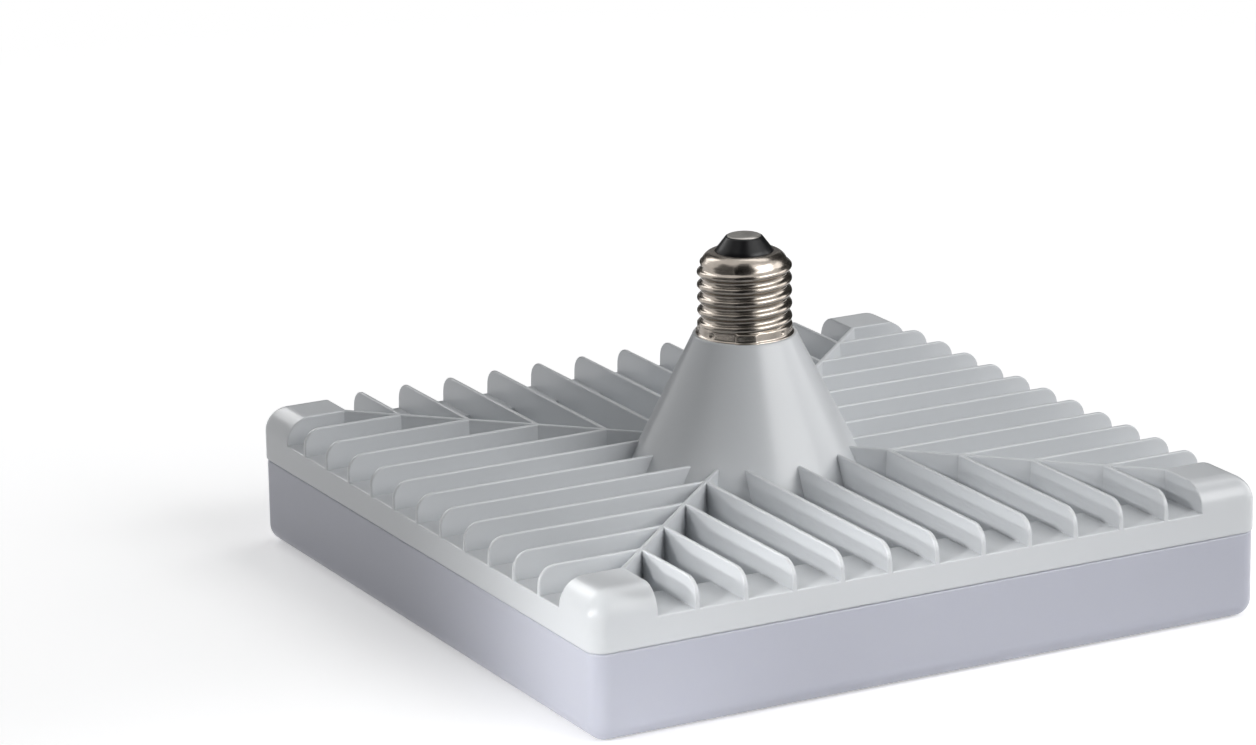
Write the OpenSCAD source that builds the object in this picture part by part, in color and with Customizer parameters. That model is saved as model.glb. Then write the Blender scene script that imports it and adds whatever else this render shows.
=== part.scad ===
// Square LED panel lamp on an Edison screw cap, standing base up on its diffuser.
// Frame: origin at the centre of the diffuser's outer face, +Z towards the cap.

/* [Outline] */
// Side of the square lamp
body_w = 204.2; // [198:0.1:215]
// Radius of the vertical corners and of the rounded outer edges
edge_r = 5; // [4.2:0.1:6]
// Wall thickness of the moulded housing
wall = 2; // [1.7:0.1:2.3]

/* [Diffuser] */
// Height of the diffuser from its outer face to the seam
diffuser_h = 24.4; // [22:0.1:30]
// Wall thickness of the diffuser
diffuser_wall = 1.8; // [1.5:0.1:2.2]
// Step back of the diffuser from the housing's outer face
diffuser_inset = 0.25; // [0.1:0.05:0.4]
// Thickness of the tongue that stands inside the rim
tongue_t = 1.4; // [1.1:0.1:2]
// Height of the tongue above the seam
tongue_h = 3.6; // [3.2:0.1:4.4]
// Height of the ledge below the seam that carries the tongue
ledge_h = 3; // [2:0.1:5]
// Length of one snap hook
hook_len = 12; // [8:0.5:18]
// How far a hook stands out of the tongue
hook_out = 0.7; // [0.5:0.05:0.8]
// Height of a hook
hook_h = 1.6; // [1.2:0.1:2]
// Height of a hook's catching face above the seam
hook_lift = 1.5; // [1.2:0.1:1.7]

/* [Housing] */
// Height of the plain rim above the seam
rim_h = 7.9; // [7:0.1:9]
// Height of the fins and corner blocks above the rim
fin_h = 7.8; // [7:0.1:9]
// Depth of the inner floor below the rim's top
recess_depth = 3; // [2.4:0.1:3.4]
// Width of the shelf around the inner floor
shelf_w = 18; // [16:0.1:18.5]
// Side of a corner block
block_w = 18.9; // [18:0.1:20]
// Radius over the two outer edges of a corner block, at most the height of the fins
block_edge_r = 7.4; // [5:0.1:9]
// Distance between neighbouring fins
fin_pitch = 14.35; // [13.5:0.05:15]
// Thickness of a fin at the inner floor
fin_root_t = 1.8; // [1.5:0.1:2.2]
// Thickness of a fin at its rounded top
fin_tip_t = 1.2; // [1:0.1:1.5]

/* [Neck] */
// Height of the neck from the rim's top to the cap's seat
neck_h = 38.8; // [37.5:0.1:41]
// Outer radius of the neck at the cap's seat
neck_top_r = 14.3; // [13.9:0.1:14.6]
// Outer radius of the neck at the inner floor
neck_foot_r = 35; // [34:0.1:37]
// Thickness of the neck's wall, measured level
neck_wall = 2.3; // [2:0.1:2.5]
// Thickness of the ring that the cap stands on
neck_roof_t = 2.5; // [2:0.1:3]
// Height of the collar inside the cap
collar_h = 15; // [14:0.1:16]
// Wall of the collar
collar_wall = 1.8; // [1.5:0.1:2]

/* [Screw cap] */
// Height of the shell from its seat to its crown
shell_h = 23.2; // [22.6:0.1:24]
// Sheet thickness of the shell
shell_t = 0.3; // [0.25:0.01:0.35]
// Radius over the thread's crests
thread_r = 13.15; // [13.05:0.01:13.2]
// Depth of the thread
thread_depth = 1.1; // [1.05:0.01:1.15]
// Pitch of the thread, seven turns to the inch
thread_pitch = 3.629; // [3.6:0.001:3.66]
// Height of the plain skirt
skirt_h = 2.5; // [2.2:0.1:3]
// How far the skirt's foot flares out
skirt_flare = 0.5; // [0.3:0.05:0.55]
// Radius of the crown's hole
crown_r = 8.15; // [7.9:0.05:8.4]
// Height of the insulator above the crown
insulator_h = 4.1; // [3.6:0.1:4.6]
// Radius of the insulator's top
insulator_top_r = 5.1; // [5:0.1:5.6]
// Radius of the insulator's flange under the crown
insulator_flange_r = 9.8; // [9.4:0.1:10]
// Radius of the centre contact's disc
contact_r = 4.7; // [4.4:0.1:4.9]
// Thickness of the centre contact's disc
contact_t = 0.5; // [0.4:0.05:0.7]
// Radius of the centre contact's stem
stem_r = 1.5; // [1.3:0.1:1.7]
// Length of the centre contact's stem
stem_len = 4.5; // [4:0.1:5]

/* [Light source] */
// Thickness of the aluminium heat spreader
spreader_t = 1.2; // [1:0.1:1.4]
// Thickness of the led board
led_board_t = 1.5; // [1.2:0.1:1.6]
// Distance between neighbouring led packages
led_pitch = 13.2; // [12.4:0.1:14]
// Length of one led package
led_len = 3.5; // [3:0.1:4]
// Width of one led package
led_w = 2.8; // [2.4:0.1:3.2]
// Height of one led package
led_h = 0.7; // [0.6:0.05:0.9]
// Diameter of the board screws
screw_d = 2.9; // [2.6:0.1:3]
// Length of the board screws under the head
screw_len = 4.4; // [4.2:0.1:4.6]
// Width of the terminal across its two poles
terminal_w = 9; // [8.6:0.1:10]
// Length of the terminal along its wires
terminal_len = 8; // [7:0.1:9]
// Height of the terminal
terminal_h = 3.2; // [3:0.1:3.6]

/* [Driver] */
// Thickness of the driver board
driver_t = 1.6; // [1.4:0.1:1.8]
// Half width of the driver board's tongue in the collar
driver_tongue_r = 7; // [6.6:0.1:7.2]
// Length of the driver board's tongue
driver_tongue_h = 13.4; // [13:0.1:14]
// Width of the inductor's core
inductor_w = 16; // [15:0.1:16.6]
// Height of the inductor's core
inductor_h = 13; // [12.4:0.1:13.4]
// Depth of the inductor's core
inductor_d = 5.6; // [5:0.1:6]
// Diameter of the input capacitor
input_can_d = 10; // [9.4:0.1:10.2]
// Length of the input capacitor
input_can_len = 12; // [11:0.1:12.4]
// Diameter of the output capacitor
output_can_d = 8; // [7.4:0.1:8.4]
// Length of the output capacitor
output_can_len = 12; // [11:0.1:12.6]
// Diameter of the drum choke
choke_d = 8; // [7:0.1:8.6]
// Length of the drum choke
choke_len = 8.5; // [7.5:0.1:9]
// Diameter of the insulated output leads
lead_d = 1.6; // [1.4:0.1:1.7]
// Diameter of the thin input leads
input_lead_d = 0.9; // [0.8:0.05:1]

/* [Hidden] */
$fn = 48;

// Overrun of every cut past the face that it opens
cut = 1;
// Gap where one piece slides into or over another
fit_gap = 0.15;
// Gap between pieces that only lie beside each other
side_gap = 0.4;

// Heights of the stack, measured from the diffuser's face
half_w = body_w / 2;
seam_z = diffuser_h;
rim_z = seam_z + rim_h;
top_z = rim_z + fin_h;
floor_z = rim_z - recess_depth;
ceiling_z = floor_z - wall;
spreader_z = ceiling_z - spreader_t;
led_board_z = spreader_z - led_board_t;
seat_z = rim_z + neck_h;
crown_z = seat_z + shell_h;
insulator_z = crown_z + insulator_h;

// Half widths of what lies inside the outline
rim_in = half_w - wall;
recess_half = half_w - shelf_w;
block_in = half_w - block_w;
block_r = min(block_edge_r, fin_h);
spreader_margin = 1.1;
spreader_half = recess_half + wall - spreader_margin;
board_margin = 2;
led_board_half = spreader_half - board_margin;

// Fins on each side of the middle fin
fin_end_gap = 3;
fin_steps = floor((block_in - fin_end_gap) / fin_pitch);

// Diffuser's tongue and hooks
tongue_out = rim_in - fit_gap;
tongue_in = tongue_out - tongue_t;
hook_place_shares = [-0.3, 0, 0.3];
hook_pocket_d = 0.85;

// Inside of the neck
neck_roof_z = seat_z - neck_roof_t;
neck_slope = (neck_foot_r - neck_top_r) / (seat_z - floor_z);
function neck_in_r(z) = neck_top_r + (seat_z - z) * neck_slope - neck_wall;
neck_edge_r = 0.4;

// Cap
root_r = thread_r - thread_depth;
collar_r = root_r - shell_t - fit_gap;
collar_in_r = collar_r - collar_wall;
collar_z = seat_z + collar_h;
spigot_r = thread_r - shell_t - fit_gap;
spigot_h = skirt_h - side_gap;
thread_arc_r = thread_pitch * thread_pitch / 16 / thread_depth + thread_depth / 4;
thread_start_turns = 0.33;
skirt_blend_h = thread_pitch / 3;
dome_r = root_r - crown_r;
dome_h = shell_h - dome_r;
thread_fade_h = thread_pitch / 2;
thread_fade_top = dome_h + thread_fade_h;
cap_segments = 36;
rows_per_turn = 8;
dome_steps = 4;
insulator_flange_t = 1.3;
dome_chord_r = (dome_r - shell_t) * cos(45 / dome_steps);
insulator_flange_z = seat_z + dome_h - insulator_flange_t
    + sqrt(dome_chord_r ^ 2 - (insulator_flange_r - crown_r) ^ 2);
contact_rim_share = 0.62;
stem_z = insulator_z - stem_len;

// Screws of the led board, at the crossings of the outer but one fins
screw_at = (fin_steps - 1) * fin_pitch;
screw_head_r = screw_d;
screw_head_h = 1.7;
screw_recess_r = 0.8;
screw_recess_d = 0.9;
boss_wall = 2.3;
boss_r = screw_d / 2 + boss_wall;
boss_cover = 1;
screw_tip_z = led_board_z + screw_len;
boss_top_z = screw_tip_z + fit_gap + boss_cover;

// Hole for the output leads and the terminal behind it
lead_drop_y = 7;
lead_hole_r = 4;
lead_hole_y = lead_drop_y + 0.5;
lead_pole_gap = 4.4;
terminal_y = 14;
terminal_lead_z = led_board_z - terminal_h / 2;
terminal_bite = 2.5;

// Driver board
driver_z = ceiling_z + fit_gap;
driver_shoulder_z = neck_roof_z - wall;
driver_h = driver_shoulder_z - driver_z;
driver_top_z = driver_shoulder_z + driver_tongue_h;
driver_face = driver_t / 2;
rail_t = 1.2;
rail_depth = 2.6;
function driver_half_w(z) = neck_in_r(z) - side_gap;
function up(share) = driver_z + share * driver_h;
function across(share, z) = share * driver_half_w(z);
function up_tongue(share) = driver_shoulder_z + share * driver_tongue_h;

// Pins of the parts that stand through the driver board
pin_r = 0.35;
pin_out = 0.9;
pin_stub = 1.2;
can_pin_rise = 2 * pin_stub;
standoff = 0.5;

// Places on the driver board, as shares of its height and of its half width there
inductor_z = up(0.42);
inductor_leg_w = 4.4;
inductor_side_w = 2.2;
inductor_yoke_h = 2.1;
bobbin_wall = 0.8;
winding_grow = 3.2;
inductor_y = driver_face + standoff + inductor_d / 2 + bobbin_wall + winding_grow;
inductor_pin_x = 4;
input_can_z = up(0.65);
input_pin_x = 2.5;
input_can_y = driver_face + side_gap + input_can_d / 2;
output_can_z = up(0.475);
output_can_x = across(0.4, output_can_z);
output_pin_x = 1.75;
output_can_y = driver_face + side_gap + output_can_d / 2;
film_w = 13;
film_h = 10;
film_d = 5;
film_pin_x = 5;
film_z = up(0.21);
film_x = across(-0.58, film_z);
choke_z = up(0.23);
choke_x = across(0.58, choke_z);
choke_pin_x = 2.5;
varistor_r = 3.4;
varistor_t = 3.2;
varistor_pin_x = 2;
varistor_x = 0.44 * driver_tongue_r;
varistor_z = up_tongue(0.42);
fuse_r = 1.6;
fuse_len = 7;
fuse_x = -0.44 * driver_tongue_r;
fuse_z = up_tongue(0.5);
fuse_pin_z = fuse_len / 2 + pin_stub;
output_lead_z = up(0.095);
input_lead_z = up_tongue(0.87);
centre_lead_x = 0.3 * driver_tongue_r;
shell_lead_x = -0.75 * driver_tongue_r;
bridge_w = 8.2;
bridge_h = 6.4;
bridge_t = 2.4;
bridge_z = up(0.79);
bridge_x = across(-0.34, bridge_z);
chip_w = 4.9;
chip_h = 3.9;
chip_t = 1.5;
chip_z = up(0.5);
chip_x = across(-0.33, chip_z);
diode_w = 4.4;
diode_h = 3.6;
diode_t = 2.1;
diode_z = up(0.27);
diode_x = across(0.36, diode_z);
leg_t = 0.25;
resistor_w = 3.2;
resistor_h = 1.6;
resistor_t = 0.55;
resistor_z = up(0.34);
resistor_shares = [-0.78, -0.62, -0.46, -0.3, 0.62];

// Every drilled place on the driver board, as x, z and the radius of what passes
pin_places = [
    for (side_x = [-1, 1], side_z = [-1, 1])
        [side_x * inductor_pin_x, inductor_z + side_z * inductor_pin_row(), pin_r],
    for (side = [-1, 1]) [side * input_pin_x, input_can_z - pin_stub, pin_r],
    for (side = [-1, 1]) [output_can_x + side * output_pin_x, output_can_z - pin_stub, pin_r],
    for (side = [-1, 1]) [film_x + side * film_pin_x, film_z, pin_r],
    for (side = [-1, 1]) [choke_x + side * choke_pin_x, choke_z, pin_r],
    for (side = [-1, 1]) [varistor_x + side * varistor_pin_x, varistor_z - varistor_r, pin_r],
    for (side = [-1, 1]) [fuse_x, fuse_z + side * fuse_pin_z, pin_r],
    for (side = [-1, 1]) [side * lead_pole_gap / 2, output_lead_z, lead_d / 2],
    [centre_lead_x, input_lead_z, input_lead_d / 2],
    [shell_lead_x, input_lead_z, input_lead_d / 2]
];
function inductor_pin_row() = inductor_h / 2 - inductor_yoke_h - bobbin_wall / 2;

// Square of side 2 * half with round corners
module round_square(half, r) {
    square([2 * half, 2 * (half - r)], center = true);
    square([2 * (half - r), 2 * half], center = true);
    for (side_x = [-1, 1], side_y = [-1, 1])
        translate([side_x * (half - r), side_y * (half - r)]) circle(r);
}

// Rectangle with round corners
module round_rect(w, h, r) {
    square([w, h - 2 * r], center = true);
    square([w - 2 * r, h], center = true);
    for (side_x = [-1, 1], side_y = [-1, 1])
        translate([side_x * (w / 2 - r), side_y * (h / 2 - r)]) circle(r);
}

// Square block from z = 0 to h whose vertical edges and upper end are rounded by r
module soft_box(half, h, r) {
    linear_extrude(h - r) round_square(half, r);
    translate([0, 0, h - r]) {
        for (turn = [0:3]) rotate(90 * turn) {
            translate([half - r, half - r, 0]) sphere(r);
            translate([half - r, half - r, 0]) rotate([90, 0, 0]) cylinder(r = r, h = 2 * (half - r));
        }
        translate([r - half, r - half, 0]) cube([2 * (half - r), 2 * (half - r), r]);
    }
}

// Round rod along +Y from y0 to y1
module rod_y(r, y0, y1) {
    translate([0, y1, 0]) rotate([90, 0, 0]) cylinder(r = r, h = y1 - y0);
}

// Plate in the X-Z plane from y0 to y1, with the children as its outline
module plate_y(y0, y1) {
    translate([0, y1, 0]) rotate([90, 0, 0]) linear_extrude(y1 - y0) children();
}

// Copies on the four sides of the square
module on_sides() {
    for (turn = [0:3]) rotate(90 * turn) children();
}

// Cross-section of a fin, drafted and round at its top
module fin_section() {
    tip_r = fin_tip_t / 2;
    polygon([[-fin_root_t / 2, floor_z - wall / 2], [fin_root_t / 2, floor_z - wall / 2],
        [tip_r, top_z - tip_r], [-tip_r, top_z - tip_r]]);
    translate([0, top_z - tip_r]) circle(tip_r);
}

// Fin bar along -Y from y = -near to y = -far
module fin_bar(near, far) {
    plate_y(-far, -near) fin_section();
}

// Fins of the side that faces -Y, and the rib of the corner on its left
module fin_sector() {
    for (k = [-fin_steps:fin_steps])
        translate([k * fin_pitch, 0, 0]) fin_bar(max(abs(k) * fin_pitch, neck_top_r), half_w);
    rotate(-45) fin_bar(neck_top_r, block_in * sqrt(2) + fin_root_t);
}

// Slab along Y from the seam to the top, with its two upper edges rounded by r
module arched_slab(half, top, r) {
    plate_y(-half, half) {
        translate([-half, seam_z]) square([2 * half, top - r - seam_z]);
        translate([r - half, seam_z]) square([2 * (half - r), top - seam_z]);
        for (side = [-1, 1]) translate([side * (half - r), top - r]) circle(r);
    }
}

// Body that rounds the corner blocks over, drawn in by inset on every side
module block_form(inset) {
    half = half_w - inset;
    top = top_z - inset;
    intersection() {
        translate([0, 0, seam_z]) linear_extrude(top - seam_z) round_square(half, edge_r - inset);
        arched_slab(half, top, block_r - inset);
        rotate(90) arched_slab(half, top, block_r - inset);
    }
}

// Corner block with a hollow open towards the inside of the lamp
module corner_block() {
    translate([block_in, block_in, rim_z - wall / 2]) cube([block_w, block_w, fin_h + wall / 2]);
}

module block_hollow() {
    hollow_half = (block_w - 2 * wall) / 2;
    hollow_r = edge_r - wall;
    at = block_in + wall + hollow_half;
    intersection() {
        translate([at, at, rim_z - wall - cut])
            linear_extrude(fin_h + cut - wall / 2) round_square(hollow_half, hollow_r);
        block_form(wall);
    }
}

module neck_outside() {
    rotate_extrude() {
        polygon([[0, floor_z - wall / 2], [neck_foot_r + wall / 2 * neck_slope, floor_z - wall / 2],
            [neck_top_r, seat_z - neck_edge_r], [neck_top_r - neck_edge_r, seat_z], [0, seat_z]]);
        square_from(0, seat_z - neck_edge_r, spigot_r, neck_edge_r + spigot_h);
        square_from(0, seat_z, collar_r, collar_h);
    }
}

// Rectangle in the radius-height plane
module square_from(r, z, w, h) {
    translate([r, z]) square([w, h]);
}

module neck_inside() {
    low = ceiling_z - cut;
    rotate_extrude() {
        polygon([[0, low], [neck_in_r(low), low], [neck_in_r(neck_roof_z), neck_roof_z],
            [0, neck_roof_z]]);
        square_from(0, neck_roof_z - cut, collar_in_r, collar_h + neck_roof_t + 2 * cut);
    }
}

// Two rails on each side of the neck that hold the driver board's edges
module driver_rails() {
    low = ceiling_z + wall;
    high = driver_shoulder_z;
    rail_y = driver_face + fit_gap;
    intersection() {
        rotate_extrude() polygon([[neck_in_r(low) - rail_depth, low],
            [neck_in_r(low) + neck_wall / 2, low], [neck_in_r(high) + neck_wall / 2, high],
            [neck_in_r(high) - rail_depth, high]]);
        for (side = [-1, 1])
            translate([-neck_foot_r, side * (rail_y + rail_t / 2) - rail_t / 2, low])
                cube([2 * neck_foot_r, rail_t, high - low]);
    }
}

// Groove in the collar for the lead that the shell presses on
module shell_lead_groove() {
    groove_w = input_lead_d + 2 * fit_gap;
    translate([-collar_r - cut, -groove_w / 2, collar_z - shell_lead_run()])
        cube([cut + input_lead_d + fit_gap, groove_w, shell_lead_run() + cut]);
}

module hook_pocket() {
    pocket_h = hook_h + 2 * fit_gap;
    translate([-hook_len / 2 - side_gap, -rim_in - hook_pocket_d, seam_z + hook_lift - fit_gap])
        cube([hook_len + 2 * side_gap, hook_pocket_d + cut, pocket_h]);
}

module housing() {
    color("#d6dadc") {
        difference() {
            union() {
                difference() {
                    translate([0, 0, seam_z]) linear_extrude(rim_h) round_square(half_w, edge_r);
                    translate([0, 0, floor_z]) linear_extrude(recess_depth + cut)
                        square(2 * recess_half, center = true);
                }
                intersection() {
                    translate([0, 0, seam_z]) soft_box(half_w, rim_h + fin_h, edge_r);
                    on_sides() fin_sector();
                }
                intersection() {
                    block_form(0);
                    on_sides() corner_block();
                }
                neck_outside();
                on_sides() translate([screw_at, screw_at, ceiling_z])
                    cylinder(r = boss_r, h = boss_top_z - ceiling_z);
            }
            translate([0, 0, seam_z - cut]) linear_extrude(ceiling_z - seam_z + cut)
                round_square(rim_in, edge_r - wall);
            translate([0, 0, seam_z]) linear_extrude(rim_h - wall) difference() {
                round_square(rim_in, edge_r - wall);
                square(2 * (recess_half + wall), center = true);
            }
            on_sides() {
                block_hollow();
                for (share = hook_place_shares) translate([share * body_w, 0, 0]) hook_pocket();
                translate([screw_at, screw_at, ceiling_z - cut])
                    cylinder(d = screw_d + fit_gap, h = screw_tip_z + fit_gap - ceiling_z + cut);
            }
            neck_inside();
            shell_lead_groove();
        }
        driver_rails();
    }
}

// Snap hook on the tongue of the side that faces -Y
module snap_hook() {
    translate([-hook_len / 2, -tongue_out, seam_z + hook_lift])
        rotate([90, 0, 90]) linear_extrude(hook_len)
            polygon([[tongue_t / 2, 0], [-hook_out, 0], [-hook_out, hook_h / 3], [0, hook_h],
                [tongue_t / 2, hook_h]]);
}

module diffuser() {
    outer = half_w - diffuser_inset;
    inner = outer - diffuser_wall;
    color("#dfe2ee") {
        difference() {
            translate([0, 0, seam_z]) mirror([0, 0, 1]) soft_box(outer, seam_z, edge_r);
            translate([0, 0, seam_z + cut]) mirror([0, 0, 1])
                soft_box(inner, seam_z + cut - diffuser_wall, edge_r - diffuser_wall);
        }
        translate([0, 0, seam_z - ledge_h]) linear_extrude(ledge_h) difference() {
            round_square(inner + diffuser_wall / 2, edge_r - diffuser_wall / 2);
            round_square(tongue_in, edge_r - wall);
        }
        translate([0, 0, seam_z - ledge_h]) linear_extrude(ledge_h + tongue_h) difference() {
            round_square(tongue_out, edge_r - wall);
            round_square(tongue_in, edge_r - wall);
        }
        on_sides() for (share = hook_place_shares)
            translate([share * body_w, 0, 0]) snap_hook();
    }
}

// Holes that the heat spreader and the led board share
module board_holes() {
    on_sides() translate([screw_at, screw_at]) circle(d = screw_d + 2 * fit_gap);
    translate([0, lead_hole_y]) circle(lead_hole_r);
}

module heat_spreader() {
    color("#b8bcc0") translate([0, 0, spreader_z]) linear_extrude(spreader_t) difference() {
        round_square(spreader_half, edge_r);
        board_holes();
    }
}

module led_board() {
    color("#eef0ee") translate([0, 0, led_board_z]) linear_extrude(led_board_t) difference() {
        round_square(led_board_half, edge_r);
        board_holes();
    }
}

// Led places: a square grid with gaps at the screws, the lead hole and the terminal
led_steps = floor(led_board_half / led_pitch - 1 / 2);
led_keep = screw_head_r + led_len / 2 + side_gap;
function near_screw(x, y) = norm([abs(x) - screw_at, abs(y) - screw_at]) < led_keep;
function near_leads(x, y) = abs(x) < (terminal_w + led_w) / 2 + side_gap
    && y > lead_hole_y - lead_hole_r - led_len / 2 - side_gap
    && y < terminal_y + terminal_len + led_len / 2 + side_gap;
led_places = [for (i = [-led_steps:led_steps + 1], j = [-led_steps:led_steps + 1])
    let (x = (i - 1 / 2) * led_pitch, y = (j - 1 / 2) * led_pitch)
        if (!near_screw(x, y) && !near_leads(x, y)) [x, y]];

// Package with a shallow cup for its phosphor
module led_package() {
    cup_share = 0.72;
    difference() {
        translate([-led_w / 2, -led_len / 2, -led_h]) cube([led_w, led_len, led_h]);
        translate([-cup_share * led_w / 2, -cup_share * led_len / 2, -led_h - cut])
            cube([cup_share * led_w, cup_share * led_len, cut + led_h / 4]);
    }
}

module led_chips() {
    color("#f2d873") for (place = led_places)
        translate([place.x, place.y, led_board_z]) led_package();
}

module board_screw() {
    cylinder(d = screw_d, h = screw_len);
    difference() {
        translate([0, 0, -screw_head_h]) cylinder(r = screw_head_r, h = screw_head_h);
        for (turn = [0, 90]) rotate(turn)
            translate([-screw_d / 2, -screw_recess_r / 2, -screw_head_h - cut])
                cube([screw_d, screw_recess_r, cut + screw_recess_d]);
    }
}

module board_screws() {
    color("#9aa0a6") on_sides() translate([screw_at, screw_at, led_board_z]) board_screw();
}

module wire_terminal() {
    slot_w = 1.4;
    slot_len = 2.6;
    color("#f4f4f0") difference() {
        translate([-terminal_w / 2, terminal_y, led_board_z - terminal_h])
            cube([terminal_w, terminal_len, terminal_h]);
        for (side = [-1, 1]) translate([side * lead_pole_gap / 2, 0, terminal_lead_z]) {
            rod_y(lead_d / 2 + fit_gap, terminal_y - cut, terminal_y + terminal_bite + fit_gap);
            translate([-slot_w / 2, terminal_y + terminal_len - slot_len - cut, -terminal_h])
                cube([slot_w, slot_len, terminal_h - lead_d / 2]);
        }
    }
}

module driver_outline() {
    polygon([[-driver_half_w(driver_z), driver_z], [driver_half_w(driver_z), driver_z],
        [driver_half_w(driver_shoulder_z), driver_shoulder_z], [driver_tongue_r, driver_shoulder_z],
        [driver_tongue_r, driver_top_z], [-driver_tongue_r, driver_top_z],
        [-driver_tongue_r, driver_shoulder_z],
        [-driver_half_w(driver_shoulder_z), driver_shoulder_z]]);
}

module driver_board() {
    color("#c9b458") plate_y(-driver_face, driver_face) difference() {
        driver_outline();
        for (place = pin_places) translate([place[0], place[1]]) circle(place[2] + fit_gap);
    }
}

// Straight pin through the driver board, up to a body that starts at y = reach
module pin(x, z, reach) {
    translate([x, 0, z]) rod_y(pin_r, -driver_face - pin_out, reach);
}

// Pin that leaves a body at height z + rise and turns into the board at height z
module bent_pin(x, z, axis_y, rise) {
    pin(x, z, axis_y);
    translate([x, axis_y, z]) {
        sphere(pin_r);
        cylinder(r = pin_r, h = rise);
    }
}

module inductor_core() {
    window_w = (inductor_w - inductor_leg_w - 2 * inductor_side_w) / 2;
    color("#3b3d40") plate_y(inductor_y - inductor_d / 2, inductor_y + inductor_d / 2)
        translate([0, inductor_z]) difference() {
            square([inductor_w, inductor_h], center = true);
            for (side = [-1, 1]) translate([side * (inductor_leg_w + window_w) / 2, 0])
                square([window_w, inductor_h - 2 * inductor_yoke_h], center = true);
        }
}

bobbin_hole_w = inductor_leg_w + 2 * fit_gap;
bobbin_hole_d = inductor_d + 2 * fit_gap;
bobbin_w = inductor_w - 2 * inductor_side_w - 2 * fit_gap;
bobbin_d = inductor_d + 2 * bobbin_wall + 2 * winding_grow;
bobbin_h = inductor_h - 2 * inductor_yoke_h - 2 * fit_gap;

module inductor_bobbin() {
    rail_w = 2 * (inductor_pin_x + pin_r + bobbin_wall);
    color("#2e5d3a") {
        translate([0, inductor_y, inductor_z - bobbin_h / 2]) {
            difference() {
                union() {
                    for (low = [0, bobbin_h - bobbin_wall])
                        translate([-bobbin_w / 2, -bobbin_d / 2, low])
                            cube([bobbin_w, bobbin_d, bobbin_wall]);
                    translate([-bobbin_hole_w / 2 - bobbin_wall, -bobbin_hole_d / 2 - bobbin_wall, 0])
                        cube([bobbin_hole_w + 2 * bobbin_wall, bobbin_hole_d + 2 * bobbin_wall,
                            bobbin_h]);
                }
                translate([-bobbin_hole_w / 2, -bobbin_hole_d / 2, -cut])
                    cube([bobbin_hole_w, bobbin_hole_d, bobbin_h + 2 * cut]);
            }
        }
        for (side_z = [-1, 1]) {
            row_z = inductor_z + side_z * (bobbin_h - bobbin_wall) / 2;
            translate([-rail_w / 2, driver_face, row_z - bobbin_wall / 2])
                cube([rail_w, standoff + bobbin_wall, bobbin_wall]);
            for (side_x = [-1, 1])
                pin(side_x * inductor_pin_x, inductor_z + side_z * inductor_pin_row(), driver_face);
        }
    }
}

module inductor_winding() {
    winding_w = bobbin_w - 2 * side_gap;
    winding_d = bobbin_d - 2 * side_gap;
    corner_r = bobbin_wall + side_gap;
    color("#b5651d") translate([0, inductor_y, inductor_z - bobbin_h / 2 + bobbin_wall])
        linear_extrude(bobbin_h - 2 * bobbin_wall) difference() {
            round_rect(winding_w, winding_d, corner_r);
            square([bobbin_hole_w + 2 * bobbin_wall, bobbin_hole_d + 2 * bobbin_wall], center = true);
        }
}

// Electrolytic can along +Z with its bung end at z = 0 and a crimp groove
module can(d, len) {
    crimp_z = 0.14 * len;
    crimp_r = 0.05 * d;
    rim_r = 0.06 * d;
    recess = 0.04 * d;
    bung_r = 0.4 * d;
    top_r = 0.38 * d;
    rotate_extrude() difference() {
        union() {
            square_from(0, 0, d / 2, len - rim_r);
            square_from(0, len - 2 * rim_r, d / 2 - rim_r, 2 * rim_r);
            translate([d / 2 - rim_r, len - rim_r]) circle(rim_r);
        }
        translate([d / 2, crimp_z]) circle(crimp_r);
        square_from(-cut, -cut, cut + bung_r, cut + recess);
        square_from(-cut, len - recess, cut + top_r, cut + recess);
    }
}

module input_capacitor() {
    color("#3a4a8a") {
        translate([0, input_can_y, input_can_z]) can(input_can_d, input_can_len);
        for (side = [-1, 1])
            bent_pin(side * input_pin_x, input_can_z - pin_stub, input_can_y, can_pin_rise);
    }
}

module output_capacitor() {
    color("#4a3a7a") mirror([0, 1, 0]) {
        translate([output_can_x, output_can_y, output_can_z]) can(output_can_d, output_can_len);
        for (side = [-1, 1])
            bent_pin(output_can_x + side * output_pin_x, output_can_z - pin_stub, output_can_y,
                can_pin_rise);
    }
}

module film_capacitor() {
    corner_r = 0.6;
    color("#d9b23a") {
        translate([film_x, 0, film_z]) plate_y(driver_face + standoff, driver_face + standoff + film_d)
            round_rect(film_w, film_h, corner_r);
        for (side = [-1, 1]) pin(film_x + side * film_pin_x, film_z, driver_face + standoff);
    }
}

module filter_choke() {
    chamfer = 0.5;
    bottom = driver_face + standoff;
    color("#26282b") {
        translate([choke_x, bottom, choke_z]) rotate([-90, 0, 0]) rotate_extrude()
            polygon([[0, 0], [choke_d / 2 - chamfer, 0], [choke_d / 2, chamfer],
                [choke_d / 2, choke_len - chamfer], [choke_d / 2 - chamfer, choke_len],
                [0, choke_len]]);
        for (side = [-1, 1]) pin(choke_x + side * choke_pin_x, choke_z, bottom);
    }
}

module varistor() {
    rim = varistor_t / 3;
    bottom = driver_face + standoff;
    color("#2f6fb0") {
        translate([varistor_x, bottom, varistor_z]) rotate([-90, 0, 0]) rotate_extrude()
            polygon([[0, 0], [varistor_r - rim, 0], [varistor_r, rim], [varistor_r, varistor_t - rim],
                [varistor_r - rim, varistor_t], [0, varistor_t]]);
        for (side = [-1, 1])
            bent_pin(varistor_x + side * varistor_pin_x, varistor_z - varistor_r,
                bottom + varistor_t / 2, varistor_r / 2);
    }
}

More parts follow.
